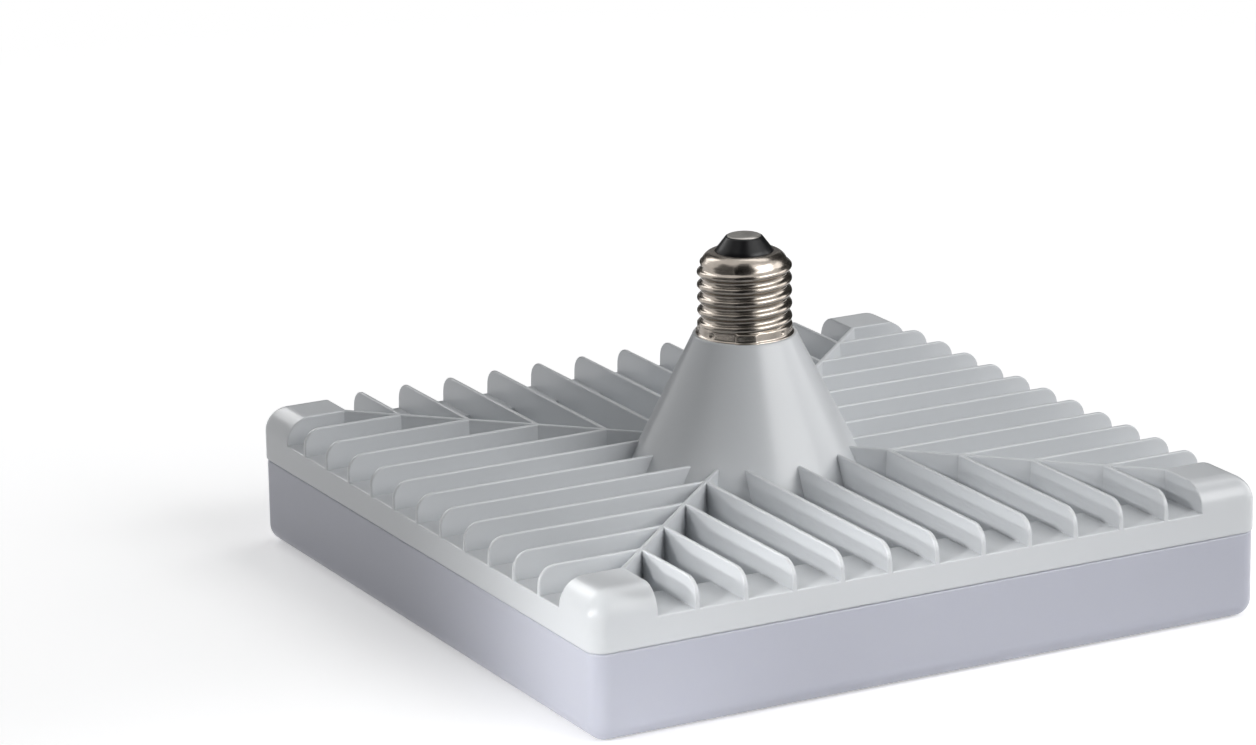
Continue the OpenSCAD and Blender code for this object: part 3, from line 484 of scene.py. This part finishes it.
def tray():
    """Rim and inner floor: soft edges at the seam, over the rim and at the step behind the fins."""
    rings = []
    for turn in quarter(3):
        inset = SEAM_SOFT * (1 - math.sin(turn))
        rings.append(square_ring(HALF - inset, EDGE_R - inset, SEAM_Z + SEAM_SOFT * (1 - math.cos(turn))))
    for turn in quarter(5):
        inset = RIM_SOFT * (1 - math.cos(turn))
        rings.append(square_ring(HALF - inset, EDGE_R - inset, RIM_Z - RIM_SOFT + RIM_SOFT * math.sin(turn)))
    for turn in quarter(4):
        half = RECESS_HALF + STEP_SOFT * (1 - math.sin(turn))
        rings.append(square_ring(half, RECESS_R, RIM_Z - STEP_SOFT * (1 - math.cos(turn))))
    rings.append(square_ring(RECESS_HALF, RECESS_R, FLOOR_Z))
    return skin(rings)


def neck_r(z):
    """Outer radius of the neck's cone at this height."""
    return NECK_TOP_R + (SEAT_Z - z) * NECK_SLOPE


def neck():
    """Cone with a soft lip, the ledge under the shell's skirt and the collar inside the shell."""
    steps = 14
    lip_z = SEAT_Z - LIP_SOFT
    profile = [(neck_r(FLOOR_Z - SINK), FLOOR_Z - SINK)]
    for i in range(steps + 1):
        z = FLOOR_Z + (lip_z - FLOOR_Z) * i / steps
        profile.append((neck_r(z), z))
    for turn in quarter(5)[1:]:
        profile.append((neck_r(lip_z) - LIP_IN * (1 - math.cos(turn)), lip_z + LIP_SOFT * math.sin(turn)))
    ledge_z = SEAT_Z + LEDGE_H
    profile += [(LEDGE_R, SEAT_Z), (LEDGE_R, ledge_z), (COLLAR_R, ledge_z), (COLLAR_R, SEAT_Z + COLLAR_H)]
    return skin(circles(profile, 128))


def rim_channel():
    """Hollow under the rim, all round the inner floor."""
    low, high = CEILING_Z - PAST, CEILING_Z + CHANNEL_H
    outer = HALF - WALL
    inner = outer - CHANNEL_WIDTH
    return looped_skin([square_ring(outer, EDGE_R - WALL, low), square_ring(outer, EDGE_R - WALL, high),
                        square_ring(inner, CHANNEL_R, high), square_ring(inner, CHANNEL_R, low)])


def build_housing():
    housing = add_mesh("housing_moulding", *tray())
    for shape in (sector_fins((0, 2)), sector_fins((1, 3)), diagonal_ribs(), corner_blocks(), neck()):
        combine(housing, add_mesh("added", *shape), "UNION")
    pocket = skin([square_ring(HALF - WALL, EDGE_R - WALL, z) for z in (SEAM_Z - PAST, CEILING_Z)])
    cone = [(neck_r(z) - NECK_WALL, z) for z in (CEILING_Z - PAST, NECK_ROOF_Z)]
    bore = [(COLLAR_BORE_R, z) for z in (NECK_ROOF_Z - PAST, SEAT_Z + COLLAR_H + PAST)]
    for shape in (pocket, rim_channel(), skin(circles(cone, 96)), skin(circles(bore, 96))):
        combine(housing, add_mesh("cut_out", *shape), "DIFFERENCE")
    smooth(housing)
    return housing


# Diffuser: opal tray with rounded edges and a tongue

def build_diffuser():
    steps = 14
    inner_half, inner_r = DIFFUSER_HALF - DIFFUSER_WALL, EDGE_R - DIFFUSER_WALL
    rings = []
    for turn in quarter(steps):
        inset = EDGE_R * (1 - math.sin(turn))
        rings.append(square_ring(DIFFUSER_HALF - inset, max(EDGE_R - inset, SHARP_R),
                                 EDGE_R * (1 - math.cos(turn)), steps))
    for turn in quarter(3):
        inset = SEAM_SOFT * (1 - math.cos(turn))
        rings.append(square_ring(DIFFUSER_HALF - inset, EDGE_R - inset,
                                 SEAM_Z - SEAM_SOFT + SEAM_SOFT * math.sin(turn), steps))
    tongue_in = TONGUE_HALF - TONGUE_T
    for half, z in ((TONGUE_HALF, SEAM_Z), (TONGUE_HALF, TONGUE_TOP_Z), (tongue_in, TONGUE_TOP_Z),
                    (tongue_in, TONGUE_FOOT_Z)):
        rings.append(square_ring(half, TONGUE_R, z, steps))
    rings.append(square_ring(inner_half, inner_r, TONGUE_FOOT_Z, steps))
    for turn in quarter(5):
        inset = inner_r * (1 - math.cos(turn))
        rings.append(square_ring(inner_half - inset, max(inner_r - inset, SHARP_R),
                                 EDGE_R - inner_r * math.sin(turn), steps))
    diffuser = add_mesh("diffuser_tray", *skin(rings))
    smooth(diffuser, 40)
    return diffuser


# Screw shell: knuckle thread, dome, flared skirt, tabs and dents

def knuckle(turns):
    """Height of a thread made of two equal arcs, from 1 at a crest to 0 at a root."""
    away = abs(turns - round(turns)) * THREAD_PITCH
    half_arc = THREAD_PITCH / 4
    if away <= half_arc:
        return 1 - (THREAD_ARC_R - math.sqrt(THREAD_ARC_R ** 2 - away * away)) / THREAD_DEPTH
    return (THREAD_ARC_R - math.sqrt(THREAD_ARC_R ** 2 - (2 * half_arc - away) ** 2)) / THREAD_DEPTH


def ease(x):
    """Smooth step from 0 to 1."""
    x = min(max(x, 0.0), 1.0)
    return x * x * (3 - 2 * x)


def falling(x, start):
    """Smooth step from 1 at the start to 0 at 1."""
    return 1 - ease((x - start) / (1 - start))


def thread_part(height, angle):
    """The thread at this height over the seat, faded out over the dome."""
    fade = THREAD_PITCH / 2
    return knuckle(height / THREAD_PITCH - angle / 360 - THREAD_START) * (1 - ease((height - DOME_H) / fade))


def marks(height, angle, r):
    """Rise of the tabs and dents that lock the skirt on the neck."""
    rise = 0.0
    for azimuth, middle, half_width, half_height, high in TABS + DENTS:
        away = (angle - azimuth + 180) % 360 - 180
        x = abs(math.radians(away) * r) / half_width
        y = (height - middle) / half_height
        if high < 0:
            rise += high * falling(math.hypot(x, y), DENT_CORE)
        else:
            narrowing = 1 + TAB_TAPER * (y + 1)
            rise += high * falling(x * narrowing, TAB_SIDE) * falling(y, TAB_END)
    return rise


def shell_point(height, angle, inset):
    """Point below the dome, at a height over the seat and an angle in degrees."""
    skirt = 1 - ease((height - SKIRT_H) / (THREAD_PITCH / 3))
    flare = SKIRT_FLARE * (1 - ease(3 * height / SKIRT_H)) ** 2
    r = ROOT_R + THREAD_DEPTH * max(skirt, thread_part(height, angle)) + flare - inset
    r += marks(height, angle, r) if height < MARKS_TOP else 0
    return polar(r, angle, SEAT_Z + height)


def dome_point(turn, angle, inset):
    """Point on the dome, from its foot at turn 0 to the crown at a quarter turn."""
    out, up = math.cos(turn), math.sin(turn)
    ridge = THREAD_DEPTH * thread_part(DOME_H + DOME_R * up, angle) * out
    return polar(CROWN_R + (DOME_R - inset) * out + ridge, angle, SEAT_Z + DOME_H + (DOME_R - inset) * up)


def build_shell():
    around_steps, thread_steps = 216, 92
    angles = [360 * k / around_steps for k in range(around_steps)]
    heights = [0.0, 0.08, 0.2, 0.35, 0.5] + [0.5 + 0.1 * i for i in range(1, 21)]
    heights += [SKIRT_H + (DOME_H - SKIRT_H) * i / thread_steps for i in range(1, thread_steps + 1)]
    turns = quarter(12)[1:]
    rings = [[shell_point(height, angle, 0) for angle in angles] for height in heights]
    rings += [[dome_point(turn, angle, 0) for angle in angles] for turn in turns]
    for inset, drop in CROWN_EDGE:
        rings.append([polar(CROWN_R - inset, angle, CROWN_Z - drop) for angle in angles])
    rings += [[dome_point(turn, angle, SHELL_T) for angle in angles] for turn in turns[2::3][::-1]]
    inner_heights = (heights[::3] + heights[-1:])[::-1]
    rings += [[shell_point(height, angle, SHELL_T) for angle in angles] for height in inner_heights]
    shell = add_mesh("screw_shell", *looped_skin(rings))
    smooth(shell, 60, False)
    return shell


# Insulator and centre contact, turned about Z

def build_insulator():
    foot_r, foot_z = CONE_FOOT
    top_r, top_z = CONE_TOP
    steps = 6
    profile = [(STEM_HOLE_R, FLANGE_Z), (COLLAR_BORE_R, FLANGE_Z), (COLLAR_BORE_R, FLANGE_TOP_Z),
               (PLUG_R, 93.6), (PLUG_R, PLUG_TOP_Z), (7.93, 94.5), CONE_FOOT]
    for i in range(1, steps + 1):
        profile.append((foot_r + (top_r - foot_r) * i / steps, foot_z + (top_z - foot_z) * i / steps))
    profile += [(5.2, 98.26), (5.02, 98.37), (4.8, INSULATOR_Z), (STEM_HOLE_R, INSULATOR_Z)]
    insulator = add_mesh("insulator_glass", *looped_skin(circles(profile, 112)))
    smooth(insulator, 40)
    return insulator


def build_contact():
    profile = [(STEM_R, STEM_LOW_Z), (STEM_R, INSULATOR_Z), (4.62, INSULATOR_Z), (DISC_R, 98.44),
               (DISC_R, 98.52), (DISC_EDGE_R, DISC_EDGE_Z)]
    steps = 4
    for i, turn in enumerate(quarter(steps)[1:], 1):
        profile.append((DISC_EDGE_R - DISC_SLOPE_W * i / steps, DISC_EDGE_Z + DISC_SLOPE_H * math.sin(turn)))
    profile += [(FLAT_R, CONTACT_Z), (1.2, CONTACT_Z), (0.9, 98.86), (0.5, 98.83)]
    contact = add_mesh("contact_disc", *skin(circles(profile, 96)))
    smooth(contact, 40)
    return contact


finish_piece(build_housing(), housing_material(), "housing")
finish_piece(build_diffuser(), diffuser_material(), "diffuser")
finish_piece(build_shell(), plated("nickel_plate", (0.42, 0.376, 0.33), 0.19, 0.265), "cap_shell")
finish_piece(build_insulator(), insulator_material(), "cap_insulator")
finish_piece(build_contact(), plated("contact_metal", (0.55, 0.53, 0.50), 0.29, 0.40), "centre_contact")

# Inner pieces keep their solids and get their own finish
BLACK_MOULDING = (0.012, 0.013, 0.014)
FINISHES = {
    "heat_spreader": lambda n: sheet_metal(n, (0.62, 0.63, 0.64)),
    "led_board": lambda n: speckled(n, (0.82, 0.83, 0.82), (0.86, 0.87, 0.86), 300, 0.42),
    "led_chips": lambda n: speckled(n, (0.86, 0.72, 0.20), (0.80, 0.62, 0.14), 1500, 0.38),
    "board_screws": lambda n: sheet_metal(n, (0.50, 0.53, 0.56), 0.3),
    "wire_terminal": lambda n: grained(n, (0.80, 0.80, 0.77), 0.45),
    "driver_board": lambda n: speckled(n, (0.50, 0.38, 0.12), (0.42, 0.31, 0.09), 900, 0.5),
    "inductor_core": lambda n: speckled(n, (0.035, 0.036, 0.04), (0.06, 0.06, 0.065), 2200, 0.55, 0.00003),
    "inductor_bobbin": lambda n: grained(n, (0.02, 0.10, 0.035), 0.5),
    "inductor_winding": lambda n: wound(n, (0.50, 0.17, 0.03)),
    "input_capacitor": lambda n: grained(n, (0.03, 0.05, 0.20), 0.25),
    "output_capacitor": lambda n: grained(n, (0.06, 0.03, 0.16), 0.25),
    "film_capacitor": lambda n: grained(n, (0.62, 0.40, 0.05), 0.3),
    "filter_choke": lambda n: grained(n, (0.015, 0.016, 0.018), 0.4),
    "varistor": lambda n: grained(n, (0.02, 0.13, 0.36), 0.3, grain=900, depth=0.00004),
    "fuse_resistor": lambda n: grained(n, (0.46, 0.38, 0.26), 0.5),
    "bridge_rectifier": lambda n: grained(n, BLACK_MOULDING, 0.5),
    "driver_chip": lambda n: grained(n, BLACK_MOULDING, 0.5),
    "output_diode": lambda n: grained(n, BLACK_MOULDING, 0.5),
    "chip_resistors": lambda n: grained(n, (0.02, 0.02, 0.022), 0.3),
    "output_lead_red": lambda n: grained(n, (0.50, 0.02, 0.02), 0.35),
    "output_lead_black": lambda n: grained(n, (0.012, 0.012, 0.012), 0.35),
    "input_lead_centre": lambda n: grained(n, (0.80, 0.80, 0.80), 0.35),
    "input_lead_shell": lambda n: grained(n, (0.20, 0.04, 0.02), 0.35),
}
for node_name, maker in FINISHES.items():
    data = frame["nodes"][node_name].data
    data.materials.clear()
    data.materials.append(maker(node_name + "_finish"))

# Stage and lights in metres, but outlines of the paper and the cards in millimetres
WHITE = (1, 1, 1)
WORLD_LIGHT, WORLD_COLOR = 0.04, (0.97, 0.985, 1.0)
PAPER_HALF, PAPER_COLOR, PAPER_LIFT, PAPER_GAP = 6000, (0.88, 0.88, 0.885), 0.4, 0.0002
PLAIN_FROM, PLAIN_TO = 0.24, 0.75
LAMP_MIDDLE = (0, 0, 0.03)
SPOT_DISTANCE = 0.9
CARD_TOP, HIGH_CARD_TOP = 420, 1100

# Camera fitted to the photograph: place in metres, turns in radians, and focal length in pixels of its width
CAMERA_PLACE = (-0.687579, -1.228211, 0.464777)
CAMERA_YAW, CAMERA_PITCH, CAMERA_ROLL = 0.4872706, 0.2802284, -0.0163998
FOCAL_PIXELS, PHOTO_WIDTH, SENSOR_WIDTH = 5288.48, 1256, 36


def calculated(tree, operation, first, second):
    """Output of a math node on two other outputs."""
    node = tree.nodes.new("ShaderNodeMath")
    node.operation = operation
    tree.links.new(first, node.inputs[0])
    tree.links.new(second, node.inputs[1])
    return node.outputs[0]


def colored(tree, kind, color):
    node = tree.nodes.new(kind)
    node.inputs["Color"].default_value = (*color, 1)
    return node


def mixed(tree, share, low, high, output):
    """Two shaders mixed by a share, as the surface of the output."""
    node = tree.nodes.new("ShaderNodeMixShader")
    tree.links.new(share, node.inputs[0])
    tree.links.new(low.outputs[0], node.inputs[1])
    tree.links.new(high.outputs[0], node.inputs[2])
    tree.links.new(node.outputs[0], output.inputs["Surface"])


def seen_by(tree):
    """Share that is 1 for camera, glossy and transmission rays and 0 for the light itself."""
    path = tree.nodes.new("ShaderNodeLightPath")
    share = path.outputs["Is Camera Ray"]
    for kind in ("Is Glossy Ray", "Is Transmission Ray"):
        share = calculated(tree, "MAXIMUM", share, path.outputs[kind])
    return share


def world():
    """White where it is seen or mirrored, with little light of its own."""
    studio = bpy.data.worlds.new("studio")
    bpy.context.scene.world = studio
    studio.use_nodes = True
    tree = studio.node_tree
    tree.nodes.clear()
    output = tree.nodes.new("ShaderNodeOutputWorld")
    shown = colored(tree, "ShaderNodeBackground", WHITE)
    light = colored(tree, "ShaderNodeBackground", WORLD_COLOR)
    light.inputs["Strength"].default_value = WORLD_LIGHT
    mixed(tree, seen_by(tree), light, shown, output)


def stage_material(name):
    """Empty material with its output node."""
    material = bpy.data.materials.new(name)
    material.use_nodes = True
    tree = material.node_tree
    tree.nodes.clear()
    return material, tree, tree.nodes.new("ShaderNodeOutputMaterial")


def paper_material():
    """Paper that is lit and shadowed near the lamp and plain white further out."""
    material, tree, output = stage_material("floor_paper")
    diffuse = colored(tree, "ShaderNodeBsdfDiffuse", PAPER_COLOR)
    lift = colored(tree, "ShaderNodeEmission", WHITE)
    white = colored(tree, "ShaderNodeEmission", WHITE)
    seen = seen_by(tree)
    tree.links.new(ranged(tree, seen, 0, PAPER_LIFT, 0, 1), lift.inputs["Strength"])
    near = tree.nodes.new("ShaderNodeAddShader")
    tree.links.new(diffuse.outputs[0], near.inputs[0])
    tree.links.new(lift.outputs[0], near.inputs[1])
    length = tree.nodes.new("ShaderNodeVectorMath")
    length.operation = "LENGTH"
    tree.links.new(position(tree), length.inputs[0])
    away = ranged(tree, length.outputs["Value"], 0, 1, PLAIN_FROM, PLAIN_TO)
    mixed(tree, calculated(tree, "MULTIPLY", away, seen), near, white, output)
    return material


def floor():
    corners = [(x * PAPER_HALF, y * PAPER_HALF, 0) for x, y in ((-1, -1), (1, -1), (1, 1), (-1, 1))]
    paper = add_mesh("floor", corners, [(0, 1, 2, 3)])
    paper.location.z = -PAPER_GAP
    paper.data.materials.append(paper_material())


def add_card(name, verts, faces, unseen_by, tone=0.8):
    """Studio card that these kinds of rays pass by."""
    card = add_mesh(name, verts, faces)
    material, tree, output = stage_material(name + "_cloth")
    cloth = colored(tree, "ShaderNodeBsdfDiffuse", (tone, tone, tone))
    tree.links.new(cloth.outputs[0], output.inputs["Surface"])
    card.data.materials.append(material)
    for kind in unseen_by:
        setattr(card, "visible_" + kind, False)


def panel(name, azimuth_low, azimuth_high, z_low, z_high, tone, radius):
    """Curved card round the lamp; it only shows in reflections."""
    steps = 24
    verts = []
    for k in range(steps + 1):
        azimuth = azimuth_low + (azimuth_high - azimuth_low) * k / steps
        verts += [polar(radius, azimuth, z_low), polar(radius, azimuth, z_high)]
    faces = [(2 * k, 2 * k + 2, 2 * k + 3, 2 * k + 1) for k in range(steps)]
    add_card(name, verts, faces, ("camera", "diffuse", "shadow"), tone)


def around(target, azimuth, elevation, distance):
    """Place at a distance from the target, on the side that azimuth and elevation name."""
    x, y, z = target
    turn, lift = math.radians(azimuth), math.radians(elevation)
    level = distance * math.cos(lift)
    return (x + level * math.cos(turn), y + level * math.sin(turn), z + distance * math.sin(lift))


def flag(name, azimuth, elevation, target, distance, width, height):
    """Small card that only shades, square to the light that comes from this side."""
    turn, lift = math.radians(azimuth), math.radians(elevation)
    centre = Vector(around(target, azimuth, elevation, distance))
    right = Vector((-math.sin(turn), math.cos(turn), 0)) * width / 2
    back = -math.sin(lift)
    up = Vector((back * math.cos(turn), back * math.sin(turn), math.cos(lift))) * height / 2
    corners = (centre - right - up, centre + right - up, centre + right + up, centre - right + up)
    add_card(name, corners, [(0, 1, 2, 3)], ("camera", "diffuse", "glossy", "transmission"))


def add_light(data, place, target):
    """Link a light at this place and aim it at the target."""
    light = bpy.data.objects.new(data.name, data)
    bpy.context.scene.collection.objects.link(light)
    light.location = place
    light.rotation_mode = "QUATERNION"
    light.rotation_quaternion = (Vector(target) - Vector(place)).to_track_quat("-Z", "Y")


def softbox(name, azimuth, elevation, distance, width, height, power):
    """Rectangular light on one side of the lamp, aimed at its middle."""
    data = bpy.data.lights.new(name, "AREA")
    data.shape = "RECTANGLE"
    data.size, data.size_y = width, height
    data.energy = power
    add_light(data, around(LAMP_MIDDLE, azimuth, elevation, distance), LAMP_MIDDLE)


def spot(name, azimuth, elevation, target, angle, power, radius=0.03):
    """Soft-edged spot that lights one corner or strip of the lamp."""
    data = bpy.data.lights.new(name, "SPOT")
    data.energy = power
    data.spot_size = math.radians(angle)
    data.spot_blend = 1.0
    data.shadow_soft_size = radius
    add_light(data, around(target, azimuth, elevation, SPOT_DISTANCE), target)


def camera():
    """Camera with the view of the photograph."""
    place = Vector(CAMERA_PLACE)
    ahead = math.cos(CAMERA_PITCH)
    forward = Vector((math.sin(CAMERA_YAW) * ahead, math.cos(CAMERA_YAW) * ahead, -math.sin(CAMERA_PITCH)))
    level = Vector((math.cos(CAMERA_YAW), -math.sin(CAMERA_YAW), 0))
    upright = level.cross(forward)
    right = level * math.cos(CAMERA_ROLL) + upright * math.sin(CAMERA_ROLL)
    up = upright * math.cos(CAMERA_ROLL) - level * math.sin(CAMERA_ROLL)
    data = bpy.data.cameras.new("camera")
    data.sensor_fit = "HORIZONTAL"
    data.sensor_width = SENSOR_WIDTH
    data.lens = FOCAL_PIXELS * SENSOR_WIDTH / PHOTO_WIDTH
    data.clip_start, data.clip_end = 0.05, 50
    obj = bpy.data.objects.new("camera", data)
    bpy.context.scene.collection.objects.link(obj)
    rows = [(right[i], up[i], -forward[i], place[i]) for i in range(3)]
    obj.matrix_world = Matrix((*rows, (0, 0, 0, 1)))
    bpy.context.scene.camera = obj


world()
floor()
panel("card_centre", -147, -92, 0, CARD_TOP, 0.02, 200)
panel("card_above", -150, -90, CARD_TOP, HIGH_CARD_TOP, 0.16, 205)
panel("card_left", -202, -148, 0, CARD_TOP, 0.14, 260)
panel("card_right", -4, 44, 0, CARD_TOP, 0.03, 260)
panel("card_behind", 45, 77, 0, CARD_TOP, 0.30, 262)
panel("card_back", 78, 104, 0, CARD_TOP, 0.03, 260)
softbox("front_right", -58, 31, 2.4, 1.95, 1.2, 30.4)
softbox("front_high", -78, 52, 1.6, 0.9, 0.6, 1.6)
softbox("right_low", 0, 15, 1.6, 1.8, 0.9, 7.0)
softbox("right_high", 30, 55, 1.6, 0.9, 0.9, 4.0)
softbox("back", 98, 35, 1.6, 0.9, 0.9, 7.4)
softbox("left", 180, 30, 1.6, 0.9, 0.9, 2.5)
spot("side_spot", 172, 15, (-0.102, -0.085, 0.020), 8.5, 25, radius=0.05)
spot("corner_spot", -125, 6, (-0.094, -0.100, 0.004), 4.0, 23)
spot("fin_spot", -161, 28, (-0.045, -0.101, 0.037), 8, 14, radius=0.04)
spot("end_spot", -161, 30, (-0.071, -0.093, 0.037), 4, 6)
flag("block_flag", -161, 29, (-92.6, -92.6, 40.3), 32, 22, 5)
spot("front_spot", -163, 27, (0.014, -0.103, 0.037), 6.5, 12, radius=0.04)
spot("right_fill", -70, 38, (0.050, 0.040, 0.038), 7.5, 4.4)
spot("left_fill", -70, 38, (-0.054, 0.010, 0.038), 5.5, 4.0)
camera()
bpy.context.scene.view_settings.view_transform = "Standard"
